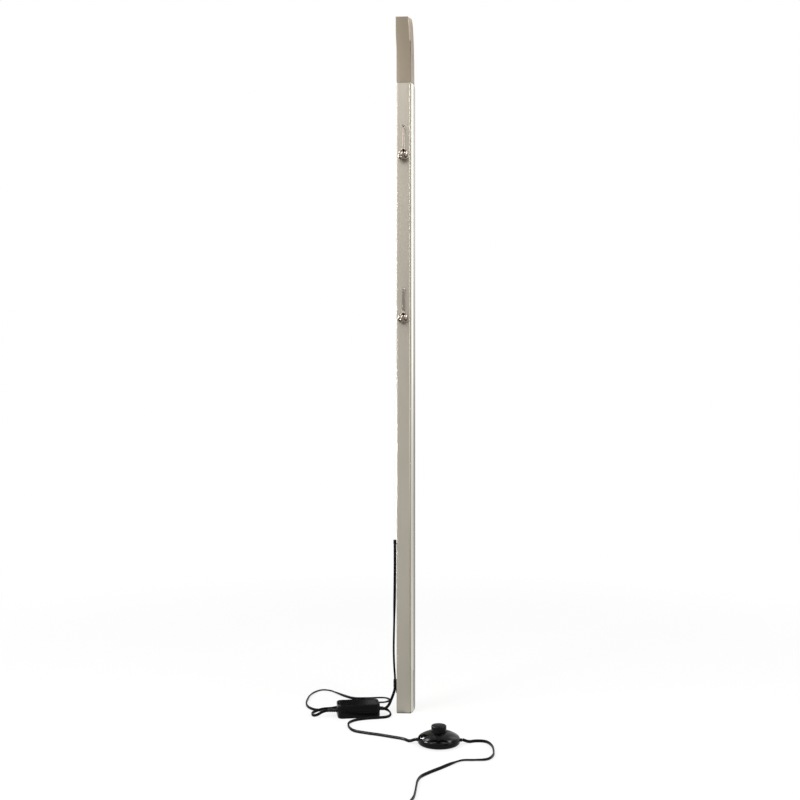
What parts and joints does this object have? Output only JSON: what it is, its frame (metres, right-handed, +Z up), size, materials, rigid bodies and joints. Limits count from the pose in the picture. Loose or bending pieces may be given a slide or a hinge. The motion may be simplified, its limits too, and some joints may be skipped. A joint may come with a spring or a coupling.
{
  "type": "floor lamp",
  "caption": "Slim upright torchiere floor lamp with an uplight blade head, hinged pear drops, a driver box and a foot switch on its lead.",
  "frame": {"origin": "middle of the column's footprint on the floor", "axes": "+Z up along the column, -Y the front with the pear drops, +X the side with the bulged cover"},
  "size_m": [0.3796, 0.7445, 1.395],
  "materials": {
    "satin_nickel": "satin brushed nickel",
    "satin_head": "satin brushed nickel, warmer and darker",
    "polished_strip": "polished nickel",
    "chrome": "polished",
    "zinc": "die cast",
    "steel": "plain",
    "black_moulding": "gloss moulded",
    "black_case": "fine texture",
    "black_rubber": "matt",
    "cord_jacket": "smooth flexible PVC",
    "white_nylon": "natural",
    "lens_opal": "opal diffuser",
    "aluminium": "anodised",
    "circuit_board": "soldermask",
    "white_board": "soldermask",
    "phosphor": "clear gel",
    "winding_tape": "tape",
    "capacitor_sleeve": "shrunk sleeve",
    "nickel_brass": "plated"
  },
  "bodies": {
    "root": {"column_channel": "satin_nickel", "column_side_cover": "polished_strip", "column_top_plate": "chrome", "head_spigot": "zinc", "foot_plug": "black_moulding", "foot_pad": "black_rubber", "ballast_bar": "steel", "back_screws": "chrome", "lead_saddles": "white_nylon", "inner_lead": "white_nylon", "cord_gland": "black_case", "gland_nut": "black_case", "lead_clip": "black_case", "head_housing": "satin_head", "head_side_cover": "polished_strip", "head_cap": "satin_head", "lens_gasket": "black_rubber", "led_lens": "lens_opal", "led_board": "white_board", "led_chips": "phosphor", "led_heat_sink": "aluminium", "led_screws": "steel", "head_screw": "chrome", "upper_drop_post": "chrome", "upper_drop_nut": "steel", "lower_drop_post": "chrome", "lower_drop_nut": "steel", "driver_lower_case": "black_case", "driver_upper_case": "black_case", "driver_board": "circuit_board", "driver_transformer": "winding_tape", "driver_capacitors": "capacitor_sleeve", "driver_screws": "steel", "driver_lamp_relief": "black_rubber", "driver_mains_relief": "black_rubber", "foot_switch_base": "black_moulding", "foot_switch_cover": "black_moulding", "foot_switch_spring": "steel", "foot_switch_module": "white_nylon", "foot_switch_screws": "steel", "foot_switch_pad": "black_rubber", "foot_switch_reliefs": "black_rubber", "lamp_lead": "cord_jacket", "switch_lead": "cord_jacket", "mains_lead": "cord_jacket", "mains_coil": "cord_jacket", "coil_tie": "black_case", "plug_body": "black_case", "plug_blades": "nickel_brass"},
    "upper_drop": {"upper_drop": "chrome", "upper_drop_pin": "chrome"},
    "lower_drop": {"lower_drop": "chrome", "lower_drop_pin": "chrome"},
    "foot_button": {"foot_switch_button": "black_moulding"}
  },
  "joints": [
    {"name": "upper_drop_swing", "type": "hinge", "parent": "root", "child": "upper_drop", "pos_m": [-0.004, -0.03725, 1.177], "axis": [-1, 0, 0], "range_deg": [-1, 90]},
    {"name": "lower_drop_swing", "type": "hinge", "parent": "root", "child": "lower_drop", "pos_m": [-0.004, -0.03725, 0.851], "axis": [-1, 0, 0], "range_deg": [-1, 90]},
    {"name": "foot_button_press", "type": "slide", "parent": "root", "child": "foot_button", "axis": [0, 0, -1], "range_m": [0, 0.0035], "stiffness_N_per_m": 600, "springref_m": -0.003, "deforming": ["foot_switch_spring"]}
  ]
}
